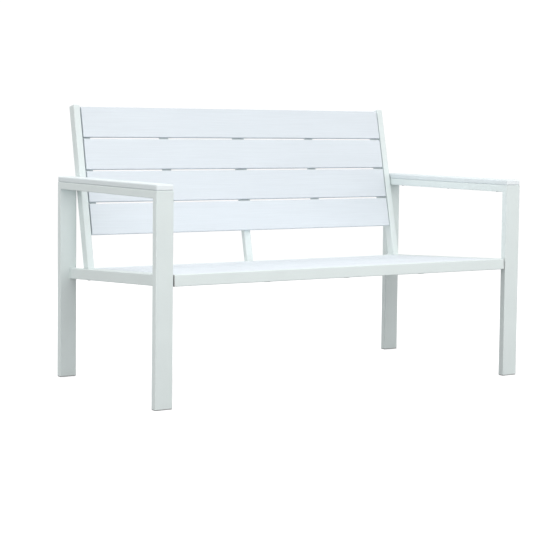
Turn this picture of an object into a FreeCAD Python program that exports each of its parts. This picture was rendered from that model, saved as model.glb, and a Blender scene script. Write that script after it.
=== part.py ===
import FreeCAD, Part
import math
import os

# A two-seat garden bench. Two side frames of flat steel tube carry plank-topped arms. A seat frame,
# sloping down to the rear, is bolted between them, and three reclined posts stand on it to hold the
# backrest. Seat, backrest and arms are faced with moulded polyethylene planks. All in millimetres.
# X runs along the bench, +Y points to its back and +Z up. The origin is on the ground, in the middle
# of the bench's outer box. "left" is -X and "right" is +X, as seen from in front of the bench.

# Overall size
TOTAL_WIDTH = 1200.0
TOTAL_DEPTH = 640.0
TOTAL_HEIGHT = 780.0

# Side frames: legs and arm rail of flat tube, mitred into one another
FRAME_DEPTH = 600.0
FLAT_TUBE_WIDE = 50.0
FLAT_TUBE_THIN = 20.0
ARM_RAIL_TOP = 558.5

# Box-section tube of the seat frame and backrest
RAIL_WIDE = 20.0
RAIL_TALL = 30.0
CROSS_RAIL_TALL = 14.0
CENTRE_POST_WIDE = 22.0
CENTRE_POST_DEEP = 18.0
WALL = 1.5
TUBE_CORNER = 2.0
BORE_CORNER = 0.6

# Seat frame: tilted about the top of its front edge
SEAT_SLOPE = 3.15
SEAT_FRONT_Y = -318.0
SEAT_FRONT_Z = 344.0
SEAT_DEPTH = 543.0
SIDE_GAP = 3.0

# Backrest: reclined from the vertical
LEAN = 12.5

# Planks
PLANK_WIDE = 89.0
PLANK_THICK = 14.0
PLANK_EDGE = 1.5
PLANK_END_GAP = 3.5
BACK_PLANK_COUNT = 4
BACK_PLANK_GAP = 5.5
BACK_PLANK_DROP = 7.0
SEAT_PLANK_COUNT = 5

# Flat bars that the planks are screwed to
BAR_THICK = 2.0
WIDE_BAR = 40.0
END_BAR = 30.0
SUPPORT_PITCH = 257.0
BACK_BAR_INSET = 12.0

# Armrest boards
ARM_BOARD_THICK = 16.0
ARM_BOARD_TOP_ROUND = 4.0
ARM_BOARD_LOW_ROUND = 3.0
ARM_BOARD_CORNER = 4.2
ARM_SCREW_STATIONS = (-250.0, -20.0, 210.0)

# Plastic plugs and caps in the tube ends
FOOT_FLANGE = 3.0
FOOT_ROUND = 2.2
FOOT_DEPTH = 15.0
RAIL_PLUG_FLANGE = 2.0
RAIL_PLUG_ROUND = 1.5
CAP_FLANGE = 4.0
CAP_ROUND = 3.0
PLUG_DEPTH = 12.0
PLUG_WALL = 1.5
PLUG_PLAY = 0.2

# Pan-head screws that hold the planks
SCREW_RADIUS = 2.1
SCREW_HEAD_RADIUS = 4.0
SCREW_HEAD_TALL = 2.4
SCREW_TIP = 2.0
SCREW_BITE = 7.5
SCREW_PLAY = 0.05
SCREW_SPREAD = 25.0
RECESS_LONG = 4.4
RECESS_WIDE = 0.9
RECESS_DEEP = 1.3

# M6 button-head bolts, washers, spacers and rivet nuts that join the frames
BOLT_RADIUS = 3.0
BOLT_HEAD_RADIUS = 5.25
BOLT_HEAD_TALL = 3.3
BOLT_HEAD_ROUND = 2.2
HEX_RADIUS = 2.3
HEX_DEEP = 2.0
BOLT_HOLE_RADIUS = 3.25
SIDE_BOLT_LONG = 35.0
BASE_BOLT_LONG = 40.0
WASHER_RADIUS = 6.25
WASHER_THICK = 1.5
NUT_BODY_RADIUS = 4.5
NUT_BULGE_RADIUS = 5.5
NUT_BULGE_LONG = 3.0
NUT_FLANGE_RADIUS = 6.5
NUT_FLANGE_THICK = 1.0
NUT_LONG = 15.0
SPACER_RADIUS = 6.5
SEAT_BOLT_STATIONS = (70.0, 460.0)
SEAT_BOLT_DROP = 22.5
ARM_BOLT_SETBACK = 22.5
FOOT_PLATE_THICK = 4.0
FOOT_PLATE_PLAY = 0.1

# Helper sizes: how far a cutter passes a face, a size past the whole bench, and two tolerances
THROUGH = 5.0
FAR = 2000.0
SAME_PLACE = 1e-6
PARALLEL = 0.999

# Worked out from the sizes above
FRONT_Y = -TOTAL_DEPTH / 2
REAR_Y = FRONT_Y + FRAME_DEPTH
OUTER_X = TOTAL_WIDTH / 2
INNER_X = OUTER_X - FLAT_TUBE_WIDE
ARM_CENTRE_X = OUTER_X - FLAT_TUBE_WIDE / 2
SEAT_OUTER_X = INNER_X - SIDE_GAP
SEAT_INNER_X = SEAT_OUTER_X - RAIL_WIDE
PLANK_END_X = SEAT_INNER_X - PLANK_END_GAP
SEAT_RAIL_END = SEAT_DEPTH - RAIL_PLUG_FLANGE
SEAT_BAY_END = SEAT_RAIL_END - RAIL_WIDE
LEAN_COS = math.cos(math.radians(LEAN))
LEAN_SIN = math.sin(math.radians(LEAN))
SHARP_CORNER = CAP_ROUND * (LEAN_COS + LEAN_SIN - 1)
BACK_TOP_Y = TOTAL_DEPTH / 2 + SHARP_CORNER - RAIL_TALL * LEAN_COS
BACK_TOP_Z = TOTAL_HEIGHT + SHARP_CORNER
BACK_PLANK_PITCH = PLANK_WIDE + BACK_PLANK_GAP
BACK_PLANK_LOW = BACK_PLANK_DROP + BACK_PLANK_COUNT * BACK_PLANK_PITCH - BACK_PLANK_GAP
CENTRE_POST_FRONT = PLANK_THICK + BAR_THICK
CENTRE_CAP_TOP = -(BACK_PLANK_DROP + BACK_BAR_INSET)
SEAT_SPARE = SEAT_BAY_END - RAIL_WIDE - SEAT_PLANK_COUNT * PLANK_WIDE
SEAT_PLANK_GAP = SEAT_SPARE / (SEAT_PLANK_COUNT + 1)
SEAT_BAR_LOW = -(PLANK_THICK + BAR_THICK)

SIDES = {"left": -1, "right": 1}
SUPPORTS = {"left": -SUPPORT_PITCH, "centre": 0.0, "right": SUPPORT_PITCH}
Vector = FreeCAD.Vector
AXES = {"x": Vector(1, 0, 0), "y": Vector(0, 1, 0), "z": Vector(0, 0, 1)}


def span(a, b):
    """A low and high pair, whichever way round the two ends are given."""
    return (min(a, b), max(a, b))


def box(x, y, z):
    """A plain block between the given pairs of X, Y and Z."""
    return Part.makeBox(x[1] - x[0], y[1] - y[0], z[1] - z[0], Vector(x[0], y[0], z[0]))


def round_edges(shape, direction, radius):
    """Rounds the straight edges that run along a direction."""
    straight = [edge for edge in shape.Edges if isinstance(edge.Curve, Part.Line)]
    chosen = [e for e in straight if abs(e.tangentAt(e.FirstParameter).dot(direction)) > PARALLEL]
    return shape.makeFillet(radius, chosen)


def round_rim(shape, height, radius):
    """Rounds the edges that lie in the horizontal plane at a height."""
    chosen = [e for e in shape.Edges if all(abs(v.Z - height) < SAME_PLACE for v in e.Vertexes)]
    return shape.makeFillet(radius, chosen)


def bore_span(ends, runs_along):
    """A tube's inner span: past both ends along its run, a wall's thickness in across it."""
    margin = -THROUGH if runs_along else WALL
    return (ends[0] + margin, ends[1] - margin)


def tube_bore(x, y, z, axis):
    """The space inside a box-section tube."""
    inner = [bore_span(ends, name == axis) for ends, name in zip((x, y, z), "xyz")]
    return round_edges(box(*inner), AXES[axis], BORE_CORNER)


def tube(x, y, z, axis):
    """A box-section tube, open at both ends, that runs along an axis."""
    outer = round_edges(box(x, y, z), AXES[axis], TUBE_CORNER)
    return outer.cut(tube_bore(x, y, z, axis))


def tilted(shape, angle, origin):
    """Leans a shape back about the X axis and moves it to its origin."""
    placed = shape.copy()
    placed.rotate(Vector(0, 0, 0), AXES["x"], -angle)
    placed.translate(origin)
    return placed


def in_seat(shape):
    """From the seat's own axes (X, distance from its front edge, height over its top) to the bench's."""
    return tilted(shape, SEAT_SLOPE, Vector(0, SEAT_FRONT_Y, SEAT_FRONT_Z))


def in_back(shape):
    """From the backrest's own axes (X, depth behind the posts' front, height up them) to the bench's."""
    return tilted(shape, LEAN, Vector(0, BACK_TOP_Y, BACK_TOP_Z))


def aimed(shape, point, direction):
    """Puts a shape made along +Z at a point, along a direction."""
    placed = shape.copy()
    placed.Placement = FreeCAD.Placement(point, FreeCAD.Rotation(AXES["z"], direction))
    return placed


def rod(radius, point, direction, length):
    """A cylinder from a point, along a direction."""
    return Part.makeCylinder(radius, length, point, direction)


def drilled(shape, holes):
    """Cuts a list of holes, if there are any."""
    return shape.cut(Part.makeCompound(holes)) if holes else shape


def yz_prism(points, x):
    """A prism along X with its outline given as Y and Z pairs."""
    outline = [Vector(x[0], y, z) for y, z in points]
    face = Part.Face(Part.makePolygon(outline + outline[:1]))
    return face.extrude(Vector(x[1] - x[0], 0, 0))


def screw(length):
    """A cross-recessed pan-head screw. Its head is below Z = 0 and its shank runs up from there."""
    shank = rod(SCREW_RADIUS, Vector(0, 0, 0), AXES["z"], length - SCREW_TIP)
    tip_base = Vector(0, 0, length - SCREW_TIP)
    tip = Part.makeCone(SCREW_RADIUS, SCREW_RADIUS / 4, SCREW_TIP, tip_base, AXES["z"])
    head = rod(SCREW_HEAD_RADIUS, Vector(0, 0, -SCREW_HEAD_TALL), AXES["z"], SCREW_HEAD_TALL)
    head = round_rim(head, -SCREW_HEAD_TALL, SCREW_HEAD_TALL / 2)
    deep = (-SCREW_HEAD_TALL - THROUGH, -SCREW_HEAD_TALL + RECESS_DEEP)
    long = (-RECESS_LONG / 2, RECESS_LONG / 2)
    wide = (-RECESS_WIDE / 2, RECESS_WIDE / 2)
    head = head.cut(box(long, wide, deep)).cut(box(wide, long, deep))
    return head.fuse([shank, tip]).removeSplitter()


def bolt(length):
    """A button-head socket bolt. Its head is below Z = 0 and its shank runs up from there."""
    head = rod(BOLT_HEAD_RADIUS, Vector(0, 0, -BOLT_HEAD_TALL), AXES["z"], BOLT_HEAD_TALL)
    head = round_rim(head, -BOLT_HEAD_TALL, BOLT_HEAD_ROUND)
    corners = [math.radians(60 * step) for step in range(7)]
    hexagon = [Vector(math.cos(a), math.sin(a), 0) * HEX_RADIUS for a in corners]
    socket = Part.Face(Part.makePolygon(hexagon)).extrude(Vector(0, 0, HEX_DEEP))
    socket.translate(Vector(0, 0, -BOLT_HEAD_TALL))
    shank = rod(BOLT_RADIUS, Vector(0, 0, 0), AXES["z"], length)
    return head.cut(socket).fuse(shank).removeSplitter()


def washer(radius, thickness):
    """A plain washer or spacer, from Z = 0 up."""
    disc = rod(radius, Vector(0, 0, 0), AXES["z"], thickness)
    return disc.cut(rod(BOLT_HOLE_RADIUS, Vector(0, 0, -THROUGH), AXES["z"], 3 * THROUGH))


def rivet_nut():
    """A set rivet nut: flange below Z = 0, body above it, bulged behind a tube wall."""
    flange = rod(NUT_FLANGE_RADIUS, Vector(0, 0, -NUT_FLANGE_THICK), AXES["z"], NUT_FLANGE_THICK)
    body = rod(NUT_BODY_RADIUS, Vector(0, 0, 0), AXES["z"], NUT_LONG)
    bulge = rod(NUT_BULGE_RADIUS, Vector(0, 0, WALL), AXES["z"], NUT_BULGE_LONG)
    thread = rod(BOLT_RADIUS, Vector(0, 0, -THROUGH), AXES["z"], NUT_LONG + 2 * THROUGH)
    return flange.fuse([body, bulge]).cut(thread).removeSplitter()


def plug(size_x, size_y, flange, edge, depth):
    """An end plug: flange above Z = 0 with its outer rim rounded, hollow ribbed insert below."""
    half_x = size_x / 2
    half_y = size_y / 2
    head = box((-half_x, half_x), (-half_y, half_y), (0, flange))
    head = round_edges(head, AXES["z"], max(TUBE_CORNER, edge + PLUG_PLAY))
    head = round_rim(head, flange, edge)
    in_x = half_x - WALL - PLUG_PLAY
    in_y = half_y - WALL - PLUG_PLAY
    insert = box((-in_x, in_x), (-in_y, in_y), (-depth, 0))
    insert = round_edges(insert, AXES["z"], BORE_CORNER)
    hollow_x = in_x - PLUG_WALL
    hollow_y = in_y - PLUG_WALL
    hollow = box((-hollow_x, hollow_x), (-hollow_y, hollow_y), (-depth, 0))
    rib = box((-PLUG_WALL / 2, PLUG_WALL / 2), (-hollow_y, hollow_y), (-depth, 0))
    return head.fuse([insert.cut(hollow), rib]).removeSplitter()


def plank(x, y, z):
    """A solid plank with its long edges and ends eased."""
    long_eased = round_edges(box(x, y, z), AXES["x"], PLANK_EDGE)
    ends = [e for e in long_eased.Edges if len({round(v.X, 3) for v in e.Vertexes}) == 1]
    return long_eased.makeFillet(PLANK_EDGE / 2, ends)


def flat_bar_spots(centre_x, plank_centre):
    """A pair of screws, one above the other, along the middle of a narrow bar."""
    return [(centre_x, plank_centre + step) for step in (-SCREW_SPREAD, SCREW_SPREAD)]


def end_bar_spots(plank_centre):
    """The screws of one plank through the bars at its two ends."""
    left, right = [side * (SEAT_INNER_X - END_BAR / 2) for side in SIDES.values()]
    return flat_bar_spots(left, plank_centre) + flat_bar_spots(right, plank_centre)


def wing_spots(centre_x, plank_centre, tube_wide):
    """A pair of screws through the two wings of a wide bar that stand out past its tube."""
    wing = (WIDE_BAR + tube_wide) / 4
    return [(centre_x - wing, plank_centre), (centre_x + wing, plank_centre)]


def back_plank_spans():
    """Height spans of the backrest planks, from the top down."""
    tops = [-(BACK_PLANK_DROP + BACK_PLANK_PITCH * row) for row in range(BACK_PLANK_COUNT)]
    return [(top - PLANK_WIDE, top) for top in tops]


def seat_plank_spans():
    """Depth spans of the seat planks, from the front back."""
    pitch = PLANK_WIDE + SEAT_PLANK_GAP
    fronts = [RAIL_WIDE + SEAT_PLANK_GAP + pitch * row for row in range(SEAT_PLANK_COUNT)]
    return [(front, front + PLANK_WIDE) for front in fronts]


def back_screw_spots(plank_span):
    """X and height of the screws that hold one backrest plank."""
    middle = sum(plank_span) / 2
    spots = end_bar_spots(middle) + wing_spots(SUPPORTS["centre"], middle, CENTRE_POST_WIDE)
    for name in SIDES:
        spots += flat_bar_spots(SUPPORTS[name], middle)
    return spots


def seat_screw_spots(plank_span):
    """X and depth of the screws that hold one seat plank."""
    middle = sum(plank_span) / 2
    spots = end_bar_spots(middle)
    for centre_x in SUPPORTS.values():
        spots += wing_spots(centre_x, middle, RAIL_WIDE)
    return spots


def back_screw_holes(spots, radius):
    """Holes through the flat bars and into the planks, along the backrest's depth."""
    start = CENTRE_POST_FRONT + THROUGH
    depth = THROUGH + BAR_THICK + SCREW_BITE
    return [rod(radius, Vector(x, start, s), -AXES["y"], depth) for x, s in spots]


def seat_screw_holes(spots, radius):
    """Holes through the flat bars and into the planks, up through the seat."""
    start = SEAT_BAR_LOW - THROUGH
    depth = THROUGH + BAR_THICK + SCREW_BITE
    return [rod(radius, Vector(x, d, start), AXES["z"], depth) for x, d in spots]


def all_back_spots():
    """X and height of every backrest screw."""
    return [spot for rows in back_plank_spans() for spot in back_screw_spots(rows)]


def all_seat_spots():
    """X and depth of every seat screw."""
    return [spot for rows in seat_plank_spans() for spot in seat_screw_spots(rows)]


def side_bolt_points():
    """Centres, on the +X side and on the seat frame's outer face, of the bolts into a side frame."""
    points = []
    for station in SEAT_BOLT_STATIONS:
        marker = in_seat(Part.Vertex(SEAT_OUTER_X, station, -SEAT_BOLT_DROP))
        points.append(marker.Point)
    arm_z = ARM_RAIL_TOP - FLAT_TUBE_THIN / 2
    run = (arm_z - BACK_TOP_Z + ARM_BOLT_SETBACK * LEAN_SIN) / LEAN_COS
    arm_y = BACK_TOP_Y + ARM_BOLT_SETBACK * LEAN_COS + run * LEAN_SIN
    points.append(Vector(SEAT_OUTER_X, arm_y, arm_z))
    return points


def on_side(point, side):
    """The same point on the left or the right side of the bench."""
    return Vector(side * point.x, point.y, point.z)


def side_bolt_holes(side, radius):
    """Holes along X through everything near a side's bolts."""
    starts = [on_side(p, side) - AXES["x"] * side * 2 * RAIL_WIDE for p in side_bolt_points()]
    reach = 2 * RAIL_WIDE + SIDE_GAP + WALL + THROUGH
    return [rod(radius, start, AXES["x"] * side, reach) for start in starts]


def outer_envelope(x):
    """A side frame's outer block, with its two top corners rounded."""
    block = box(x, (FRONT_Y, REAR_Y), (0, ARM_RAIL_TOP))
    top_edges = [
        e for e in block.Edges
        if all(abs(v.Z - ARM_RAIL_TOP) < SAME_PLACE for v in e.Vertexes)
        and abs(e.Vertexes[0].Y - e.Vertexes[1].Y) < SAME_PLACE
    ]
    return block.makeFillet(TUBE_CORNER, top_edges)


def mitre_corner(corner_y, inward):
    """The triangle above the mitre line at an arm rail's end, as Y and Z pairs."""
    low = ARM_RAIL_TOP - FLAT_TUBE_THIN
    return (corner_y, ARM_RAIL_TOP), (corner_y + inward * FLAT_TUBE_THIN, low)


def leg(side, corner_y, inward):
    """A leg from its foot plug up to the mitre under the arm rail."""
    x = span(side * INNER_X, side * OUTER_X)
    y = span(corner_y, corner_y + inward * FLAT_TUBE_THIN)
    post = tube(x, y, (FOOT_FLANGE, ARM_RAIL_TOP), "z")
    outer, inner = mitre_corner(corner_y, inward)
    above = (outer, inner, (inner[0], ARM_RAIL_TOP + THROUGH), (outer[0], ARM_RAIL_TOP + THROUGH))
    return post.cut(yz_prism(above, x)).common(outer_envelope(x))


def arm_rail(side):
    """The flat tube on top of a side frame, mitred at both ends, drilled for bolt and screws."""
    x = span(side * INNER_X, side * OUTER_X)
    low = ARM_RAIL_TOP - FLAT_TUBE_THIN
    rail = tube(x, (FRONT_Y, REAR_Y), (low, ARM_RAIL_TOP), "y")
    for corner_y, inward in ((FRONT_Y, 1), (REAR_Y, -1)):
        outer, inner = mitre_corner(corner_y, inward)
        below = (outer, inner, (inner[0], low - THROUGH), (outer[0], low - THROUGH))
        rail = rail.cut(yz_prism(below, x))
    rail = rail.common(outer_envelope(x))
    bolt_hole = side_bolt_holes(side, NUT_BODY_RADIUS)[-1]
    reach = FLAT_TUBE_THIN + 2 * THROUGH
    starts = [Vector(side * ARM_CENTRE_X, y, low - THROUGH) for y in ARM_SCREW_STATIONS]
    screw_holes = [rod(SCREW_RADIUS + SCREW_PLAY, start, AXES["z"], reach) for start in starts]
    return drilled(rail, [bolt_hole] + screw_holes)


def seat_support_rail(side):
    """The sloping tube between a side frame's legs, which the seat frame is bolted to."""
    x = span(side * INNER_X, side * (INNER_X + RAIL_WIDE))
    rail = in_seat(tube(x, (-THROUGH, FRAME_DEPTH), (-RAIL_TALL, 0), "y"))
    between_legs = (FRONT_Y + FLAT_TUBE_THIN, REAR_Y - FLAT_TUBE_THIN)
    rail = rail.common(box((-FAR, FAR), between_legs, (0, TOTAL_HEIGHT)))
    return drilled(rail, side_bolt_holes(side, NUT_BODY_RADIUS)[:-1])


def armrest_board(side):
    """The plank on an arm rail, flush with it all round, with pilot holes from below."""
    x = span(side * INNER_X, side * OUTER_X)
    top = ARM_RAIL_TOP + ARM_BOARD_THICK
    board = round_edges(box(x, (FRONT_Y, REAR_Y), (ARM_RAIL_TOP, top)), AXES["z"], ARM_BOARD_CORNER)
    board = round_rim(board, top, ARM_BOARD_TOP_ROUND)
    board = round_rim(board, ARM_RAIL_TOP, ARM_BOARD_LOW_ROUND)
    starts = [Vector(side * ARM_CENTRE_X, y, ARM_RAIL_TOP - THROUGH) for y in ARM_SCREW_STATIONS]
    depth = THROUGH + SCREW_BITE
    return drilled(board, [rod(SCREW_RADIUS + SCREW_PLAY, start, AXES["z"], depth) for start in starts])


def armrest_screws():
    """Long screws up through both arm rails into the boards."""
    long_screw = screw(FLAT_TUBE_THIN + SCREW_BITE)
    low = ARM_RAIL_TOP - FLAT_TUBE_THIN
    spots = [(side, y) for side in SIDES.values() for y in ARM_SCREW_STATIONS]
    return Part.makeCompound(
        [aimed(long_screw, Vector(side * ARM_CENTRE_X, y, low), AXES["z"]) for side, y in spots]
    )


def foot_plug(side, corner_y, inward):
    """The plug that closes a leg's lower end and stands on the ground."""
    shape = plug(FLAT_TUBE_WIDE, FLAT_TUBE_THIN, FOOT_FLANGE, FOOT_ROUND, FOOT_DEPTH)
    centre_y = corner_y + inward * FLAT_TUBE_THIN / 2
    return aimed(shape, Vector(side * ARM_CENTRE_X, centre_y, FOOT_FLANGE), -AXES["z"])


def seat_front_rail():
    """The full-width front rail of the seat frame."""
    end = SEAT_OUTER_X - RAIL_PLUG_FLANGE
    return in_seat(tube((-end, end), (0, RAIL_WIDE), (-RAIL_TALL, 0), "x"))


def seat_side_rail(side):
    """A side rail of the seat frame, drilled for its two bolts and the post's bolt."""
    x = span(side * SEAT_INNER_X, side * SEAT_OUTER_X)
    rail = in_seat(tube(x, (RAIL_WIDE, SEAT_RAIL_END), (-RAIL_TALL, 0), "y"))
    return drilled(rail, side_bolt_holes(side, BOLT_HOLE_RADIUS)[:-1] + base_bolt_holes())


def seat_rear_rail():
    """The rear rail of the seat frame, between its side rails, drilled for the centre post's bolt."""
    x = (-SEAT_INNER_X, SEAT_INNER_X)
    rail = in_seat(tube(x, (SEAT_BAY_END, SEAT_RAIL_END), (-RAIL_TALL, 0), "x"))
    return drilled(rail, base_bolt_holes())


def seat_cross_rail(centre_x):
    """A tube from the front rail to the rear rail, under the planks."""
    x = (centre_x - RAIL_WIDE / 2, centre_x + RAIL_WIDE / 2)
    z = (SEAT_BAR_LOW - CROSS_RAIL_TALL, SEAT_BAR_LOW)
    return in_seat(tube(x, (RAIL_WIDE, SEAT_BAY_END), z, "y"))


def seat_bar(x):
    """A flat bar under the planks, drilled for their screws."""
    bar = box(x, (RAIL_WIDE, SEAT_BAY_END), (SEAT_BAR_LOW, -PLANK_THICK))
    return in_seat(drilled(bar, seat_screw_holes(all_seat_spots(), SCREW_RADIUS + SCREW_PLAY)))


def seat_plank(depth_span):
    """A seat plank, level with the top of the seat frame."""
    board = plank((-PLANK_END_X, PLANK_END_X), depth_span, (-PLANK_THICK, 0))
    holes = seat_screw_holes(seat_screw_spots(depth_span), SCREW_RADIUS + SCREW_PLAY)
    return in_seat(drilled(board, holes))


def seat_plank_screws():
    """Screws up through the flat bars into the seat planks."""
    short_screw = screw(BAR_THICK + SCREW_BITE)
    points = [Vector(x, d, SEAT_BAR_LOW) for x, d in all_seat_spots()]
    return in_seat(Part.makeCompound([aimed(short_screw, point, AXES["z"]) for point in points]))


def seat_front_rail_plugs():
    """Plugs in both ends of the seat's front rail."""
    shape = plug(RAIL_TALL, RAIL_WIDE, RAIL_PLUG_FLANGE, RAIL_PLUG_ROUND, PLUG_DEPTH)
    end = SEAT_OUTER_X - RAIL_PLUG_FLANGE
    centre = Vector(end, RAIL_WIDE / 2, -RAIL_TALL / 2)
    plugs = [aimed(shape, on_side(centre, side), AXES["x"] * side) for side in SIDES.values()]
    return in_seat(Part.makeCompound(plugs))


def seat_side_rail_plugs():
    """Plugs in the rear ends of the seat's side rails."""
    shape = plug(RAIL_WIDE, RAIL_TALL, RAIL_PLUG_FLANGE, RAIL_PLUG_ROUND, PLUG_DEPTH)
    centre = Vector(SEAT_OUTER_X - RAIL_WIDE / 2, SEAT_RAIL_END, -RAIL_TALL / 2)
    plugs = [aimed(shape, on_side(centre, side), AXES["y"]) for side in SIDES.values()]
    return in_seat(Part.makeCompound(plugs))


def post_section(name):
    """X and depth spans of a backrest post."""
    if name == "centre":
        half = CENTRE_POST_WIDE / 2
        return (-half, half), (CENTRE_POST_FRONT, CENTRE_POST_FRONT + CENTRE_POST_DEEP)
    side = SIDES[name]
    return span(side * SEAT_INNER_X, side * SEAT_OUTER_X), (0, RAIL_TALL)


def cap_top(name):
    """Height of a post's capped end, down from the top of the end posts."""
    return CENTRE_CAP_TOP if name == "centre" else 0.0


def above_seat(height):
    """The space from the seat frame's top plane up to a height over it."""
    return in_seat(box((-FAR, FAR), (-FAR, FAR), (0, height)))


def back_post(name):
    """A reclined post, cut to stand flat on the seat frame."""
    x, depth = post_section(name)
    post = in_back(tube(x, depth, (-TOTAL_HEIGHT, cap_top(name) - CAP_FLANGE), "z"))
    post = post.common(above_seat(FAR))
    if name == "centre":
        return post
    return drilled(post, side_bolt_holes(SIDES[name], BOLT_HOLE_RADIUS)[-1:])


def post_foot_plate(name):
    """The threaded plate welded inside a post's lower end."""
    x, depth = post_section(name)
    play = FOOT_PLATE_PLAY
    inside = tube_bore(
        (x[0] + play, x[1] - play), (depth[0] + play, depth[1] - play), (-TOTAL_HEIGHT, 0), "z"
    )
    plate = in_back(inside).common(above_seat(FOOT_PLATE_THICK))
    return drilled(plate, base_bolt_holes(BOLT_RADIUS))


def base_bolt_points():
    """Where each post's bolt axis crosses the seat frame's top plane, in the seat's own axes."""
    points = []
    for name in ("left", "centre", "right"):
        x, _ = post_section(name)
        foot = post_foot(name)
        points.append(Vector(sum(x) / 2, foot, 0))
    return points


def post_foot(name):
    """Depth along the seat at which the middle of a post meets its top plane."""
    _, depth = post_section(name)
    middle = sum(depth) / 2
    slope = math.radians(SEAT_SLOPE)
    start_y = BACK_TOP_Y + middle * LEAN_COS - SEAT_FRONT_Y
    start_z = BACK_TOP_Z - middle * LEAN_SIN - SEAT_FRONT_Z
    along = start_y * math.cos(slope) - start_z * math.sin(slope)
    over = start_y * math.sin(slope) + start_z * math.cos(slope)
    return along - over * math.tan(math.radians(LEAN) - slope)


def base_bolt_holes(radius=BOLT_HOLE_RADIUS):
    """Holes for the bolts that hold the posts down on the seat frame."""
    reach = RAIL_TALL + 4 * THROUGH
    drop = Vector(0, 0, RAIL_TALL + 2 * THROUGH)
    return [in_seat(rod(radius, point - drop, AXES["z"], reach)) for point in base_bolt_points()]


def post_base_bolts():
    """Bolts up through the seat frame into the posts' foot plates."""
    drop = Vector(0, 0, RAIL_TALL + WASHER_THICK)
    shape = bolt(BASE_BOLT_LONG)
    bolts = [aimed(shape, point - drop, AXES["z"]) for point in base_bolt_points()]
    return in_seat(Part.makeCompound(bolts))


def post_cap(name):
    """The cap on a post's upper end."""
    x, depth = post_section(name)
    shape = plug(x[1] - x[0], depth[1] - depth[0], CAP_FLANGE, CAP_ROUND, PLUG_DEPTH)
    base = Vector(sum(x) / 2, sum(depth) / 2, cap_top(name) - CAP_FLANGE)
    return in_back(aimed(shape, base, AXES["z"]))


def back_bar(x):
    """A flat bar behind the planks, drilled for their screws."""
    height = (-(BACK_PLANK_LOW - BACK_BAR_INSET), CENTRE_CAP_TOP)
    bar = box(x, (PLANK_THICK, CENTRE_POST_FRONT), height)
    return in_back(drilled(bar, back_screw_holes(all_back_spots(), SCREW_RADIUS + SCREW_PLAY)))


def back_plank(height_span):
    """A backrest plank between the end posts, flush with their fronts."""
    board = plank((-PLANK_END_X, PLANK_END_X), (0, PLANK_THICK), height_span)
    holes = back_screw_holes(back_screw_spots(height_span), SCREW_RADIUS + SCREW_PLAY)
    return in_back(drilled(board, holes))


def back_plank_screws():
    """Screws through the flat bars into the backs of the planks."""
    short_screw = screw(BAR_THICK + SCREW_BITE)
    points = [Vector(x, CENTRE_POST_FRONT, s) for x, s in all_back_spots()]
    return in_back(Part.makeCompound([aimed(short_screw, point, -AXES["y"]) for point in points]))


def side_parts(shape, setback):
    """One copy of a shape per side bolt, aimed outward and set in from the frame's outer face."""
    placed = []
    for side in SIDES.values():
        outward = AXES["x"] * side
        for point in side_bolt_points():
            placed.append(aimed(shape, on_side(point, side) - outward * setback, outward))
    return placed


def side_frame_bolts():
    """Bolts from the inside of the seat frame and posts out into the side frames."""
    return Part.makeCompound(side_parts(bolt(SIDE_BOLT_LONG), RAIL_WIDE + WASHER_THICK))


def rivet_nuts():
    """Rivet nuts in the side frames, with their flanges on the inner faces."""
    return Part.makeCompound(side_parts(rivet_nut(), -SIDE_GAP))


def frame_spacers():
    """Spacers that fill the gap between the rivet nuts' flanges and the seat frame or posts."""
    return Part.makeCompound(side_parts(washer(SPACER_RADIUS, SIDE_GAP - NUT_FLANGE_THICK), 0))


def bolt_washers():
    """A washer under every bolt head."""
    shape = washer(WASHER_RADIUS, WASHER_THICK)
    drop = Vector(0, 0, RAIL_TALL + WASHER_THICK)
    under_seat = [in_seat(aimed(shape, point - drop, AXES["z"])) for point in base_bolt_points()]
    return Part.makeCompound(side_parts(shape, RAIL_WIDE + WASHER_THICK) + under_seat)


def side_frames():
    """Legs, arm rails, boards, plugs and seat support rails of both sides."""
    nodes = {}
    for name, side in SIDES.items():
        for place, corner_y, inward in (("front", FRONT_Y, 1), ("rear", REAR_Y, -1)):
            nodes[f"{place}_leg_{name}"] = leg(side, corner_y, inward)
            nodes[f"foot_plug_{place}_{name}"] = foot_plug(side, corner_y, inward)
        nodes[f"arm_rail_{name}"] = arm_rail(side)
        nodes[f"seat_support_rail_{name}"] = seat_support_rail(side)
        nodes[f"armrest_board_{name}"] = armrest_board(side)
    nodes["armrest_screws"] = armrest_screws()
    return nodes


def seat():
    """The seat frame, its bars, planks, plugs and screws."""
    nodes = {"seat_front_rail": seat_front_rail(), "seat_rear_rail": seat_rear_rail()}
    for name, side in SIDES.items():
        nodes[f"seat_side_rail_{name}"] = seat_side_rail(side)
        end_bar = span(side * SEAT_INNER_X, side * (SEAT_INNER_X - END_BAR))
        nodes[f"seat_end_bar_{name}"] = seat_bar(end_bar)
    for name, centre_x in SUPPORTS.items():
        nodes[f"seat_cross_rail_{name}"] = seat_cross_rail(centre_x)
        wide_bar = (centre_x - WIDE_BAR / 2, centre_x + WIDE_BAR / 2)
        nodes[f"seat_bar_{name}"] = seat_bar(wide_bar)
    for row, depth_span in enumerate(seat_plank_spans(), start=1):
        nodes[f"seat_slat_{row}"] = seat_plank(depth_span)
    nodes["seat_slat_screws"] = seat_plank_screws()
    nodes["seat_front_rail_plugs"] = seat_front_rail_plugs()
    nodes["seat_side_rail_plugs"] = seat_side_rail_plugs()
    return nodes


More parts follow.
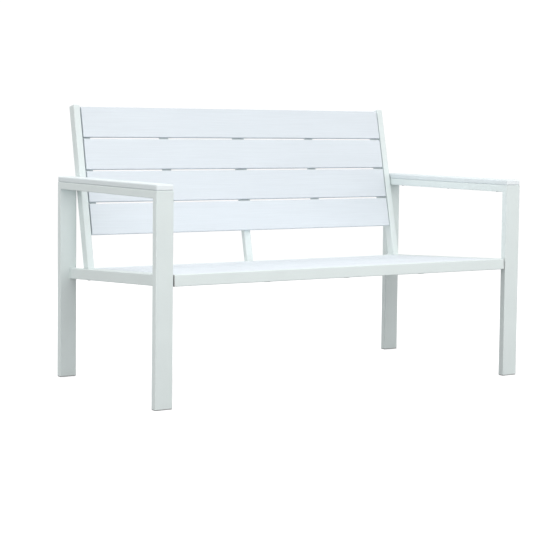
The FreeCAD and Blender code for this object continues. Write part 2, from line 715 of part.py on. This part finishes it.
def backrest():
    """The posts, their caps and foot plates, the bars, planks and screws."""
    nodes = {}
    for name, centre_x in SUPPORTS.items():
        nodes[f"back_post_{name}"] = back_post(name)
        nodes[f"back_post_cap_{name}"] = post_cap(name)
        nodes[f"post_foot_plate_{name}"] = post_foot_plate(name)
        width = WIDE_BAR if name == "centre" else END_BAR
        nodes[f"back_bar_{name}"] = back_bar((centre_x - width / 2, centre_x + width / 2))
    for name, side in SIDES.items():
        end_bar = span(side * SEAT_INNER_X, side * (SEAT_INNER_X - END_BAR))
        nodes[f"back_end_bar_{name}"] = back_bar(end_bar)
    for row, height_span in enumerate(back_plank_spans(), start=1):
        nodes[f"back_slat_{row}"] = back_plank(height_span)
    nodes["back_slat_screws"] = back_plank_screws()
    return nodes


def hardware():
    """The bolts, washers, spacers and rivet nuts that join the three frames."""
    return {
        "side_frame_bolts": side_frame_bolts(),
        "post_base_bolts": post_base_bolts(),
        "bolt_washers": bolt_washers(),
        "rivet_nuts": rivet_nuts(),
        "frame_spacers": frame_spacers(),
    }


def main():
    os.makedirs("parts", exist_ok=True)
    nodes = {**side_frames(), **seat(), **backrest(), **hardware()}
    for name, shape in nodes.items():
        shape.exportStep(f"parts/{name}.step")
    print(len(nodes), "nodes")


main()
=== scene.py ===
import bmesh
import bpy
import math
from mathutils import Euler, Matrix, Vector, noise


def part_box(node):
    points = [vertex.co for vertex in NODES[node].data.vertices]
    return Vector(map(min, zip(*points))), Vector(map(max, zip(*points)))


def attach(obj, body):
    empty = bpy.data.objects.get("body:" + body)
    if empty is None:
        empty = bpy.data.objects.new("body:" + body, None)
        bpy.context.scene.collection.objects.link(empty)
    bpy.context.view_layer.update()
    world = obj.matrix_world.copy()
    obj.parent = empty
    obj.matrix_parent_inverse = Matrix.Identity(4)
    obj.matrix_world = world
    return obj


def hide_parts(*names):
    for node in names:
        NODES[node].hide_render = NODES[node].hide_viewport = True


# The garden bench's looks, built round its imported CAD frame. All in metres, Z up, -Y to the front.
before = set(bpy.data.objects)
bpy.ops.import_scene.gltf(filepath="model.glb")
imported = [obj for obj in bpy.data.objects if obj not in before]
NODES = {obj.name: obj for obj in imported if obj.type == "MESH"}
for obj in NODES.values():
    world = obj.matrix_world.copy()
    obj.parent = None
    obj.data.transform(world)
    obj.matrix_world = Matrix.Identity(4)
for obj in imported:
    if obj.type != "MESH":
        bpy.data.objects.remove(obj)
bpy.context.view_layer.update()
SIDES = ("left", "right")
SUPPORTS = ("left", "centre", "right")

# Tilts of the seat frame and of the backrest, in degrees
SEAT_SLOPE = 3.15
LEAN = 12.5

# Sections of the planks and of the flat bars behind them, and the radii of the planks' and boards' edges
PLANK_WIDE = 0.089
PLANK_THICK = 0.014
BAR_THICK = 0.002
PLANK_AND_BAR = PLANK_THICK + BAR_THICK
BACK_PLANK_PITCH = 0.0945
PLANK_EDGE = 0.0015
PLANK_END_EDGE = 0.00075
BOARD_TOP_EDGE = 0.004
BOARD_LOW_EDGE = 0.003
BOARD_CORNER = 0.0042

# Mesh steps of the planks
ALONG_STEP = 0.009
ACROSS_STEP = 0.0017
EDGE_STEPS = 4

# Moulded grain: its depth, its shares of level, fine and broad grooves with their cycles per metre
# along and across, and the places in the noise where each plank's and board's own grain starts
GRAIN_DEPTH = 0.00010
LEVEL_SHARE = 0.5
FINE_SHARE = 0.3
BROAD_SHARE = 0.2
FINE_CYCLES = (2.4, 255.0)
BROAD_CYCLES = (0.8, 62.0)
BROAD_START = 50.0
PLANK_GRAIN_STEP = 3.7
BOARD_GRAIN_START = 80.0
BOARD_GRAIN_STEP = 5.3

# Weld beads: section, ripples and rounded ends, and the tacks of the flat bars with their stations
WELD_RADIUS = 0.0022
WELD_SIDES = 8
WELD_STEP = 0.0007
WELD_TAPER = 0.002
RIPPLE_PITCH = 0.0022
RIPPLE_SHARE = 0.14
CORNER_STEPS = 4
TACK_HALF = 0.007
SEAT_TACKS = (-0.147, -0.049, 0.049, 0.147)
BACK_TACKS = (-BACK_PLANK_PITCH, 0.0, BACK_PLANK_PITCH)

# Camera: place, heading to the right of +Y, dip, roll and lens
CAMERA_PLACE = (-2.3651, -3.6545, 0.7267)
CAMERA_HEADING = 31.47
CAMERA_DIP = 3.63
CAMERA_ROLL = 0.61
CAMERA_LENS = 98.37
CAMERA_SENSOR = 36.0
CAMERA_SHIFT = (0.0455, -0.1)

# Light: the backdrop, the even light all round, and wide soft boxes, each with its place, its power
# and whether it's mirrored in what it lights
BACKDROP_GLOW = 1.05
AMBIENT_GLOW = 0.70
SOFT_BOXES = {
    "front": ((-0.35, -2.7, 1.75), 32.0, True),
    "right": ((2.2, -2.4, 1.0), 15.5, True),
    "left": ((-3.0, -0.3, 1.4), 19.0, True),
    "top": ((0.0, -0.3, 3.0), 14.0, True),
    "rear": ((0.0, 1.8, 2.4), 37.5, False),
}
SOFT_BOX_SIZE = 2.6
LIT_POINT = (0.0, -0.05, 0.4)
FLOOR_GLOW = 0.75
FLOOR_COLOUR = 0.40
FLOOR_ROUGHNESS = 0.9
FLOOR_BOUNCE = 0.33
FLOOR_HALF = 60.0

# Directions along the seat and up from it, and up the backrest and away behind it
SEAT_ALONG = Vector((0, math.cos(math.radians(SEAT_SLOPE)), -math.sin(math.radians(SEAT_SLOPE))))
SEAT_UP = Vector((0, math.sin(math.radians(SEAT_SLOPE)), math.cos(math.radians(SEAT_SLOPE))))
BACK_UP = Vector((0, math.sin(math.radians(LEAN)), math.cos(math.radians(LEAN))))
BACK_BEHIND = Vector((0, math.cos(math.radians(LEAN)), -math.sin(math.radians(LEAN))))
ACROSS = Vector((1, 0, 0))

# Levels of a noise between which a tone, or a roughness, runs from its lowest to its highest
TONE_SPAN = (0.3, 0.7)
ROUGHNESS_SPAN = (0.25, 0.75)
WHITE = (1.0, 1.0, 1.0)

# Each finish below has its colour, the darkest and lightest share of it, its lowest and highest
# roughness, and its noises, in cycles per metre, with the heights of their bumps

# White powder coat: orange peel on a longer wave, with faint clouds
COAT_COLOUR = (0.755, 0.822, 0.814)
COAT_TONES = (0.985, 1.015)
COAT_ROUGHNESS = (0.36, 0.46)
COAT_CLOUD = (14, 14, 14)
WAVE = (130, 130, 130)
WAVE_HEIGHT = 0.00008
PEEL = (520, 520, 520)
PEEL_HEIGHT = 0.00003

# Brushed wood grain, its noises given along and across it: streaks, wider bands and faint clouds
PLANK_COLOUR = (0.733, 0.784, 0.829)
BOARD_COLOUR = (0.735, 0.794, 0.808)
GRAINED_TONES = (1.005, 1.045)
GRAINED_ROUGHNESS = (0.44, 0.60)
GRAINED_CLOUD = (2.5, 9)
STREAK = (11, 620)
STREAK_TONES = (0.955, 1.0)
STREAK_HEIGHT = 0.00010
BAND = (4, 190)
BAND_TONES = (0.975, 1.0)
BAND_HEIGHT = 0.00012

# Ends of the boards, on the faces that are turned this far towards an end: a paler colour that paints
# the brighter light falling on these ends, with their own matt roughness
END_PAINTED_LIGHT_COLOUR = (0.85, 0.90, 0.92)
SAWN_TONES = (0.97, 1.02)
SAWN_ROUGHNESS = (0.52, 0.66)
SAW = (60, 60, 900)
SAW_HEIGHT = 0.00004
END_TILT = 0.6

# Moulded plugs and caps, finely pitted. The plugs' dark grey is partly their own colour and partly
# painted shade: the contact shadow along the feet's bottom edges and the shadow in the gaps at the rail
# ends
PLUG_GREY_AND_PAINTED_SHADE = (0.42, 0.43, 0.43)
CAP_COLOUR = (0.80, 0.85, 0.85)
MOULDED_TONES = (0.98, 1.02)
MOULDED_ROUGHNESS = (0.48, 0.62)
MOULDED_CLOUD = (40, 40, 40)
PITS = (900, 900, 900)
PIT_HEIGHT = 0.00003

# Zinc plate, smeared and finely spotted
ZINC_COLOUR = (0.66, 0.68, 0.70)
ZINC_TONES = (0.88, 1.08)
ZINC_ROUGHNESS = (0.26, 0.42)
SMEAR = (300, 300, 300)
SPOTS = (1400, 1400, 1400)
SPOT_HEIGHT = 0.00002


def shaded(colour, share):
    """A colour made darker or lighter by a share, with full opacity."""
    return tuple(min(1.0, channel * share) for channel in colour) + (1.0,)


def new_material(name, slot_name):
    """An empty principled material for one of the record's slots."""
    made = bpy.data.materials.new(name)
    made.use_nodes = True
    made["slot"] = slot_name
    return made, made.node_tree, made.node_tree.nodes["Principled BSDF"]


def fractal(tree, cycles, detail=3.0, rough=0.5):
    """Fractal noise over the object, with its cycles per metre along X, Y and Z."""
    place = tree.nodes.new("ShaderNodeTexCoord")
    spread = tree.nodes.new("ShaderNodeMapping")
    spread.inputs["Scale"].default_value = cycles
    pattern = tree.nodes.new("ShaderNodeTexNoise")
    pattern.inputs["Scale"].default_value = 1.0
    pattern.inputs["Detail"].default_value = detail
    pattern.inputs["Roughness"].default_value = rough
    tree.links.new(place.outputs["Object"], spread.inputs["Vector"])
    tree.links.new(spread.outputs["Vector"], pattern.inputs["Vector"])
    return pattern.outputs["Fac"]


def spread_between(tree, source, ends):
    """Maps a noise to run between two numbers."""
    ranged = tree.nodes.new("ShaderNodeMapRange")
    ranged.inputs["From Min"].default_value, ranged.inputs["From Max"].default_value = ROUGHNESS_SPAN
    ranged.inputs["To Min"].default_value, ranged.inputs["To Max"].default_value = ends
    tree.links.new(source, ranged.inputs["Value"])
    return ranged.outputs["Result"]


def tinted(tree, source, colour, tones):
    """A colour that runs with a noise from its darkest share to its lightest."""
    ramp = tree.nodes.new("ShaderNodeValToRGB")
    for stop, place, share in zip(ramp.color_ramp.elements, TONE_SPAN, tones):
        stop.position = place
        stop.color = shaded(colour, share)
    tree.links.new(source, ramp.inputs["Fac"])
    return ramp.outputs["Color"]


def multiplied(tree, one, other):
    """Two colours multiplied."""
    mix = tree.nodes.new("ShaderNodeMix")
    mix.data_type = "RGBA"
    mix.blend_type = "MULTIPLY"
    mix.inputs["Factor"].default_value = 1.0
    tree.links.new(one, mix.inputs["A"])
    tree.links.new(other, mix.inputs["B"])
    return mix.outputs["Result"]


def bumped(tree, layers):
    """Stacks bumps, each a height source and its height in metres, and returns the last normal."""
    normal = None
    for source, height in layers:
        bump = tree.nodes.new("ShaderNodeBump")
        bump.inputs["Strength"].default_value = 1.0
        bump.inputs["Distance"].default_value = height
        tree.links.new(source, bump.inputs["Height"])
        if normal is not None:
            tree.links.new(normal, bump.inputs["Normal"])
        normal = bump.outputs["Normal"]
    return normal


def dress(tree, surface, colour, roughness, layers):
    """Gives a surface its colour, its roughness and its bumps."""
    tree.links.new(colour, surface.inputs["Base Color"])
    tree.links.new(roughness, surface.inputs["Roughness"])
    tree.links.new(bumped(tree, layers), surface.inputs["Normal"])


def powder_coat():
    """White polyester powder coat: a fine orange peel with faint clouding."""
    made, tree, surface = new_material("white_powder_coat", "frame_steel")
    peel = fractal(tree, PEEL, detail=2.0)
    wave = fractal(tree, WAVE, detail=2.0)
    colour = tinted(tree, fractal(tree, COAT_CLOUD), COAT_COLOUR, COAT_TONES)
    roughness = spread_between(tree, wave, COAT_ROUGHNESS)
    dress(tree, surface, colour, roughness, [(wave, WAVE_HEIGHT), (peel, PEEL_HEIGHT)])
    return made


def grained(name, along, colour):
    """Moulded polyethylene with a brushed wood grain that runs along an axis, 0 for X or 1 for Y."""
    made, tree, surface = new_material(name, "plank_plastic")

    def laid(cycles):
        along_it, across_it = cycles
        return [along_it if axis == along else across_it for axis in range(3)]

    streak = fractal(tree, laid(STREAK), detail=4.0, rough=0.6)
    band = fractal(tree, laid(BAND), rough=0.55)
    cloud = fractal(tree, laid(GRAINED_CLOUD))
    fine = tinted(tree, streak, WHITE, STREAK_TONES)
    broad = tinted(tree, band, WHITE, BAND_TONES)
    clouded = tinted(tree, cloud, colour, GRAINED_TONES)
    grain_colour = multiplied(tree, clouded, multiplied(tree, fine, broad))
    roughness = spread_between(tree, streak, GRAINED_ROUGHNESS)
    layers = [(band, BAND_HEIGHT), (streak, STREAK_HEIGHT)]
    dress(tree, surface, grain_colour, roughness, layers)
    return made


def board_ends_painted_light():
    """The ends of the armrest boards: matt, and painted paler than their moulded faces for the brighter
    light that falls on the ends.
    """
    made, tree, surface = new_material("board_ends_painted_light_plastic", "plank_plastic")
    saw = fractal(tree, SAW, rough=0.6)
    colour = tinted(tree, saw, END_PAINTED_LIGHT_COLOUR, SAWN_TONES)
    roughness = spread_between(tree, saw, SAWN_ROUGHNESS)
    dress(tree, surface, colour, roughness, [(saw, SAW_HEIGHT)])
    return made


def moulded(name, base):
    """Moulded polyethylene of the plugs and caps: a spark-eroded mould finish."""
    made, tree, surface = new_material(name, "plug_plastic")
    pits = fractal(tree, PITS, detail=2.0)
    colour = tinted(tree, fractal(tree, MOULDED_CLOUD, detail=2.0), base, MOULDED_TONES)
    roughness = spread_between(tree, pits, MOULDED_ROUGHNESS)
    dress(tree, surface, colour, roughness, [(pits, PIT_HEIGHT)])
    return made


def zinc():
    """Zinc-plated steel of the screws, bolts and washers."""
    made, tree, surface = new_material("zinc_plate", "fastener_steel")
    surface.inputs["Metallic"].default_value = 1.0
    smear = fractal(tree, SMEAR)
    spots = fractal(tree, SPOTS, detail=2.0)
    colour = tinted(tree, smear, ZINC_COLOUR, ZINC_TONES)
    roughness = spread_between(tree, smear, ZINC_ROUGHNESS)
    dress(tree, surface, colour, roughness, [(spots, SPOT_HEIGHT)])
    return made


def arc_points(centre, radius, start):
    """Points and outward normals of a quarter turn, from a start angle in quarter turns."""
    found = []
    for step in range(EDGE_STEPS + 1):
        angle = (start + step / EDGE_STEPS) * math.pi / 2
        out = Vector((math.cos(angle), math.sin(angle)))
        found.append((Vector(centre) + out * radius, out))
    return found


def section(half_wide, thick, top_edge, low_edge):
    """A plank's section, anticlockwise: points and normals across it and through its thickness."""
    corners = (
        ((half_wide - top_edge, thick - top_edge), top_edge, 0),
        ((-half_wide + top_edge, thick - top_edge), top_edge, 1),
        ((-half_wide + low_edge, low_edge), low_edge, 2),
        ((half_wide - low_edge, low_edge), low_edge, 3),
    )
    arcs = [arc_points(*corner) for corner in corners]
    outline = []
    for index, arc in enumerate(arcs):
        outline += arc
        (here, out), (there, _) = arc[-1], arcs[(index + 1) % 4][0]
        count = max(1, round((there - here).length / ACROSS_STEP))
        outline += [(here.lerp(there, step / count), out) for step in range(1, count)]
    return outline


def pulled_in(depth, radius):
    """How far a rounded edge has pulled in at a depth from the end."""
    if depth >= radius:
        return 0.0
    return radius - math.sqrt(radius * radius - (radius - depth) ** 2)


def finished_mesh(name, build):
    """A mesh of what was built, with its faces turned outwards."""
    bmesh.ops.recalc_face_normals(build, faces=build.faces)
    mesh = bpy.data.meshes.new(name)
    build.to_mesh(mesh)
    build.free()
    return mesh


def stations(length, radius):
    """Distances from one end of a plank, closer together in its rounded ends."""
    ends = [radius * (1 - math.cos(step / EDGE_STEPS * math.pi / 2)) for step in range(EDGE_STEPS + 1)]
    count = round((length - 2 * radius) / ALONG_STEP)
    middle = [radius + (length - 2 * radius) * step / count for step in range(1, count)]
    return ends + middle + [length - end for end in reversed(ends)]


def groove(along, across, start):
    """Depth of the moulded grain at a place on a plank."""
    fine = noise.noise(Vector((along * FINE_CYCLES[0], across * FINE_CYCLES[1], start)))
    broad = noise.noise(Vector((along * BROAD_CYCLES[0], across * BROAD_CYCLES[1], start + BROAD_START)))
    return GRAIN_DEPTH * (LEVEL_SHARE + FINE_SHARE * fine + BROAD_SHARE * broad)


def skin(build, rings):
    """Joins rings of vertices into a closed skin with flat ends."""
    count = len(rings[0])
    for one, other in zip(rings, rings[1:]):
        for step in range(count):
            following = (step + 1) % count
            build.faces.new((one[step], one[following], other[following], other[step]))
    build.faces.new(list(reversed(rings[0])))
    build.faces.new(rings[-1])


def plank_rings(build, size, edges, start):
    """The rings of a plank's grained surface, from one end to the other."""
    long, wide, thick = size
    top_edge, low_edge, end_top, end_low, corner = edges
    outline = section(wide / 2, thick, top_edge, low_edge)
    rings = []
    for station in stations(long, max(end_top, end_low, corner)):
        depth = min(station, long - station)
        narrow = 1 - pulled_in(depth, corner) / (wide / 2)
        lowered = pulled_in(depth, end_top)
        raised = pulled_in(depth, end_low)
        squeeze = (thick - lowered - raised) / thick
        ring = []
        around = 0.0
        for index, (point, out) in enumerate(outline):
            around += (point - outline[index - 1][0]).length
            sunk = groove(station, around, start)
            across = (point.x - out.x * sunk) * narrow
            up = raised + (point.y - out.y * sunk) * squeeze - thick / 2
            ring.append(build.verts.new((station - long / 2, across, up)))
        rings.append(ring)
    return rings


def plank_mesh(name, size, edges, start):
    """A plank along +X, centred, with its grain cut into its faces. Its edges are the radii of the
    top and low long edges, of the end's top and low edges, and of the corners in plan."""
    build = bmesh.new()
    skin(build, plank_rings(build, size, edges, start))
    for face in build.faces:
        face.smooth = len(face.verts) == 4
    for edge in build.edges:
        edge.smooth = all(len(face.verts) == 4 for face in edge.link_faces)
    return finished_mesh(name, build)


def put(name, mesh, turn, centre, finish, *stands_for):
    """Links a new piece, turned and moved to its place, with its finish, slot and body."""
    mesh.transform(Matrix.Translation(centre) @ turn.to_matrix().to_4x4())
    mesh.materials.append(finish)
    piece = bpy.data.objects.new(name, mesh)
    bpy.context.scene.collection.objects.link(piece)
    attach(piece, "root")
    if stands_for:
        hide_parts(*stands_for)
    return piece


def node_centre(node):
    """Middle of a CAD node's box."""
    low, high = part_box(node)
    return (low + high) / 2


def planks(finish):
    """The planks of the seat and backrest, with their moulded grain."""
    tilts = {"seat": -SEAT_SLOPE, "back": 90 - LEAN}
    edges = (PLANK_EDGE, PLANK_EDGE, PLANK_END_EDGE, PLANK_END_EDGE, PLANK_END_EDGE)
    rows = [node for node in sorted(NODES) if "_slat_" in node and not node.endswith("screws")]
    for index, node in enumerate(rows):
        low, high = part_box(node)
        size = (high.x - low.x, PLANK_WIDE, PLANK_THICK)
        mesh = plank_mesh(node + "_grained", size, edges, index * PLANK_GRAIN_STEP)
        turn = Euler((math.radians(tilts[node[:4]]), 0, 0))
        put(node + "_grained", mesh, turn, node_centre(node), finish, node)


def boards(finish, painted_light_end_finish):
    """The two armrest boards, with their ends painted paler for the light that falls on them."""
    edges = (BOARD_TOP_EDGE, BOARD_LOW_EDGE, BOARD_TOP_EDGE, BOARD_LOW_EDGE, BOARD_CORNER)
    for index, side in enumerate(SIDES):
        node = "armrest_board_" + side
        low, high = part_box(node)
        size = (high.y - low.y, high.x - low.x, high.z - low.z)
        start = BOARD_GRAIN_START + index * BOARD_GRAIN_STEP
        mesh = plank_mesh(node + "_grained", size, edges, start)
        # Faces turned towards an end take the paler finish that paints the light falling on the ends
        for face in mesh.polygons:
            face.material_index = int(abs(face.normal.x) > END_TILT)
        turn = Euler((0, 0, math.radians(90)))
        put(node + "_grained", mesh, turn, node_centre(node), finish, node)
        mesh.materials.append(painted_light_end_finish)


def rounded_path(corners, radius):
    """A polyline with its inner corners rounded."""
    path = [corners[0]]
    for before, corner, after in zip(corners, corners[1:], corners[2:]):
        start = corner + (before - corner).normalized() * radius
        end = corner + (after - corner).normalized() * radius
        for step in range(CORNER_STEPS + 1):
            share = step / CORNER_STEPS
            path.append(start.lerp(corner, share).lerp(corner.lerp(end, share), share))
    return path + [corners[-1]]


def even_steps(path, step):
    """Points at even steps along a path."""
    found = [path[0]]
    ahead = step
    for here, there in zip(path, path[1:]):
        reach = (there - here).length
        while ahead < reach:
            found.append(here.lerp(there, ahead / reach))
            ahead += step
        ahead -= reach
    return found


def add_bead(build, corners):
    """A rippled weld bead along a path, rounded off at both ends."""
    path = even_steps(rounded_path(corners, WELD_RADIUS), WELD_STEP)
    last = len(path) - 1
    side = (path[1] - path[0]).orthogonal()
    rings = []
    for index, place in enumerate(path):
        ahead = (path[min(index + 1, last)] - path[max(index - 1, 0)]).normalized()
        side = (side - ahead * side.dot(ahead)).normalized()
        over = ahead.cross(side)
        from_end = (min(index, last - index) + 0.5) * WELD_STEP
        ripple = 1 - RIPPLE_SHARE * ((index * WELD_STEP / RIPPLE_PITCH) % 1.0)
        radius = WELD_RADIUS * ripple * math.sqrt(min(1.0, from_end / WELD_TAPER))
        turns = [2 * math.pi * step / WELD_SIDES for step in range(WELD_SIDES)]
        points = [place + (side * math.cos(turn) + over * math.sin(turn)) * radius for turn in turns]
        rings.append([build.verts.new(point) for point in points])
    skin(build, rings)


def seat_size(node):
    """Length along the seat and height over it of a straight piece of the seat frame."""
    low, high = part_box(node)
    deep, tall = high.y - low.y, high.z - low.z
    cosine, sine = SEAT_UP.z, SEAT_UP.y
    spread = cosine * cosine - sine * sine
    return (deep * cosine - tall * sine) / spread, (tall * cosine - deep * sine) / spread


def support_rail_beads(side):
    """Beads round the three open sides of a seat support rail, at both legs."""
    low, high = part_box("seat_support_rail_" + side)
    inner, outer = sorted((low.x, high.x), key=abs)
    fall = (high.y - low.y) * SEAT_UP.y / SEAT_UP.z
    tall = high.z - low.z - fall
    beads = []
    for y, top in ((low.y, high.z), (high.y, high.z - fall)):
        outline = ((inner, top - tall), (outer, top - tall), (outer, top), (inner, top))
        beads.append([Vector((x, y, z)) for x, z in outline])
    return beads


def cross_rail_beads(node):
    """Beads round the sides and underside of a cross rail, at both its ends."""
    long, tall = seat_size(node)
    low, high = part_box(node)
    half = (high.x - low.x) / 2
    beads = []
    for end in (-long / 2, long / 2):
        middle = node_centre(node) + SEAT_ALONG * end
        outline = ((-half, tall / 2), (-half, -tall / 2), (half, -tall / 2), (half, tall / 2))
        beads.append([middle + ACROSS * x + SEAT_UP * up for x, up in outline])
    return beads


def seat_corner_beads(side):
    """Upright beads in the seat frame's inner corners, under its planks."""
    rail = "seat_side_rail_" + side
    long, tall = seat_size(rail)
    deep, _ = seat_size("seat_rear_rail")
    inner = min(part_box(rail), key=lambda corner: abs(corner.x)).x
    beads = []
    front = node_centre(rail) - SEAT_ALONG * (long / 2)
    for face in (front, node_centre("seat_rear_rail") - SEAT_ALONG * (deep / 2)):
        foot = Vector((inner, face.y, face.z)) - SEAT_UP * (tall / 2)
        beads.append([foot, foot + SEAT_UP * (tall - PLANK_AND_BAR)])
    return beads


def tacks(middle, along, distances):
    """Short beads along a line, at distances from its middle."""
    places = [middle + along * distance for distance in distances]
    return [[place - along * TACK_HALF, place + along * TACK_HALF] for place in places]


def seat_bar_tacks():
    """Tacks that hold the seat's flat bars: on both sides of the cross rails, and on the side rails."""
    beads = []
    for name in SUPPORTS:
        rail = "seat_cross_rail_" + name
        _, tall = seat_size(rail)
        low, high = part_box(rail)
        for x in (low.x, high.x):
            edge = Vector((x, *node_centre(rail).yz)) + SEAT_UP * (tall / 2)
            beads += tacks(edge, SEAT_ALONG, SEAT_TACKS)
    for side in SIDES:
        bar = "seat_end_bar_" + side
        _, tall = seat_size(bar)
        outer = max(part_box(bar), key=lambda corner: abs(corner.x)).x
        edge = Vector((outer, *node_centre(bar).yz)) - SEAT_UP * (tall / 2)
        beads += tacks(edge, SEAT_ALONG, SEAT_TACKS)
    return beads


def back_bar_tacks():
    """Tacks that hold the backrest's flat bars to its posts."""
    edges = [("back_bar_centre", corner.x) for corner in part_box("back_post_centre")]
    for side in SIDES:
        bar = "back_end_bar_" + side
        edges.append((bar, max(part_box(bar), key=lambda corner: abs(corner.x)).x))
    beads = []
    for bar, x in edges:
        edge = Vector((x, *node_centre(bar).yz)) + BACK_BEHIND * (BAR_THICK / 2)
        beads += tacks(edge, BACK_UP, BACK_TACKS)
    return beads


def welds(finish):
    """The weld beads of the two side frames, the seat frame and the backrest."""
    groups = {"side_frame_welds_" + side: support_rail_beads(side) for side in SIDES}
    seat_beads = seat_corner_beads("left") + seat_corner_beads("right") + seat_bar_tacks()
    for name in SUPPORTS:
        seat_beads += cross_rail_beads("seat_cross_rail_" + name)
    groups["seat_frame_welds"] = seat_beads
    groups["backrest_welds"] = back_bar_tacks()
    for name, beads in groups.items():
        build = bmesh.new()
        for corners in beads:
            add_bead(build, corners)
        for face in build.faces:
            face.smooth = True
        put(name, finished_mesh(name, build), Euler((0, 0, 0)), Vector((0, 0, 0)), finish)


def finish_nodes(finishes, cap_finish):
    """Gives every CAD node the material of its slot, and the posts' caps their own."""
    by_slot = {made["slot"]: made for made in finishes}
    for name, node in NODES.items():
        for spot in node.material_slots:
            finish = cap_finish if "_cap_" in name else by_slot[spot.material.name]
            spot.link = "OBJECT"
            spot.material = finish


def glowing_world():
    """A white backdrop, with a softer even light for everything it falls on."""
    world = bpy.data.worlds.new("studio")
    world.use_nodes = True
    tree = world.node_tree
    tree.nodes.clear()
    seen = tree.nodes.new("ShaderNodeBackground")
    seen.inputs["Strength"].default_value = BACKDROP_GLOW
    seen.inputs["Color"].default_value = (1, 1, 1, 1)
    cast = tree.nodes.new("ShaderNodeBackground")
    cast.inputs["Strength"].default_value = AMBIENT_GLOW
    cast.inputs["Color"].default_value = (1, 1, 1, 1)
    path = tree.nodes.new("ShaderNodeLightPath")
    mix = tree.nodes.new("ShaderNodeMixShader")
    out = tree.nodes.new("ShaderNodeOutputWorld")
    tree.links.new(path.outputs["Is Camera Ray"], mix.inputs["Fac"])
    tree.links.new(cast.outputs["Background"], mix.inputs[1])
    tree.links.new(seen.outputs["Background"], mix.inputs[2])
    tree.links.new(mix.outputs["Shader"], out.inputs["Surface"])
    bpy.context.scene.world = world


def soft_boxes():
    """Wide soft boxes round the bench, all aimed at it."""
    for name, (place, power, mirrored) in SOFT_BOXES.items():
        data = bpy.data.lights.new("soft_box_" + name, "AREA")
        data.energy = power
        data.size = SOFT_BOX_SIZE
        lamp = bpy.data.objects.new("soft_box_" + name, data)
        lamp.location = place
        lamp.rotation_mode = "QUATERNION"
        lamp.rotation_quaternion = (Vector(place) - Vector(LIT_POINT)).to_track_quat("Z", "Y")
        lamp.visible_camera = False
        lamp.visible_glossy = mirrored
        bpy.context.scene.collection.objects.link(lamp)


def floor_material():
    """Pale and plain: a light table to look at, a matt sheet for the light it sends back."""
    made = bpy.data.materials.new("studio_floor")
    made.use_nodes = True
    tree = made.node_tree
    surface = tree.nodes["Principled BSDF"]
    surface.inputs["Base Color"].default_value = (FLOOR_COLOUR,) * 3 + (1.0,)
    surface.inputs["Roughness"].default_value = FLOOR_ROUGHNESS
    surface.inputs["Specular IOR Level"].default_value = 0.0
    surface.inputs["Emission Color"].default_value = (1, 1, 1, 1)
    surface.inputs["Emission Strength"].default_value = FLOOR_GLOW
    sheet = tree.nodes.new("ShaderNodeBsdfDiffuse")
    sheet.inputs["Color"].default_value = (FLOOR_BOUNCE,) * 3 + (1.0,)
    path = tree.nodes.new("ShaderNodeLightPath")
    mix = tree.nodes.new("ShaderNodeMixShader")
    tree.links.new(path.outputs["Is Camera Ray"], mix.inputs["Fac"])
    tree.links.new(sheet.outputs["BSDF"], mix.inputs[1])
    tree.links.new(surface.outputs["BSDF"], mix.inputs[2])
    tree.links.new(mix.outputs["Shader"], tree.nodes["Material Output"].inputs["Surface"])
    return made


def floor():
    """The sheet that the bench stands on."""
    mesh = bpy.data.meshes.new("studio_floor")
    corners = [(-1, -1), (1, -1), (1, 1), (-1, 1)]
    mesh.from_pydata([(x * FLOOR_HALF, y * FLOOR_HALF, 0) for x, y in corners], [], [(0, 1, 2, 3)])
    mesh.materials.append(floor_material())
    ground = bpy.data.objects.new("studio_floor", mesh)
    bpy.context.scene.collection.objects.link(ground)


def camera():
    """The camera, with a small shift so that upright edges stay nearly parallel."""
    data = bpy.data.cameras.new("camera")
    data.sensor_width = CAMERA_SENSOR
    data.lens = CAMERA_LENS
    data.shift_x, data.shift_y = CAMERA_SHIFT
    data.clip_end = 4 * FLOOR_HALF
    heading = Matrix.Rotation(math.radians(-CAMERA_HEADING), 4, "Z")
    dip = Matrix.Rotation(math.radians(90 - CAMERA_DIP), 4, "X")
    roll = Matrix.Rotation(math.radians(CAMERA_ROLL), 4, "Z")
    maker = bpy.data.objects.new("camera", data)
    maker.matrix_world = Matrix.Translation(CAMERA_PLACE) @ heading @ dip @ roll
    bpy.context.scene.collection.objects.link(maker)
    bpy.context.scene.camera = maker


camera()
glowing_world()
soft_boxes()
floor()
plank_finish = grained("plank_plastic_along_x", 0, PLANK_COLOUR)
board_finish = grained("plank_plastic_along_y", 1, BOARD_COLOUR)
# The plugs' grey paints shade along the feet and at the rail ends, on top of a grey of their own
plug_finish_with_painted_shade = moulded("plug_plastic", PLUG_GREY_AND_PAINTED_SHADE)
coat_finish = powder_coat()
finish_nodes([coat_finish, plank_finish, plug_finish_with_painted_shade, zinc()], moulded("cap_plastic", CAP_COLOUR))
planks(plank_finish)
boards(board_finish, board_ends_painted_light())
welds(coat_finish)
bpy.context.scene.view_settings.view_transform = "Standard"
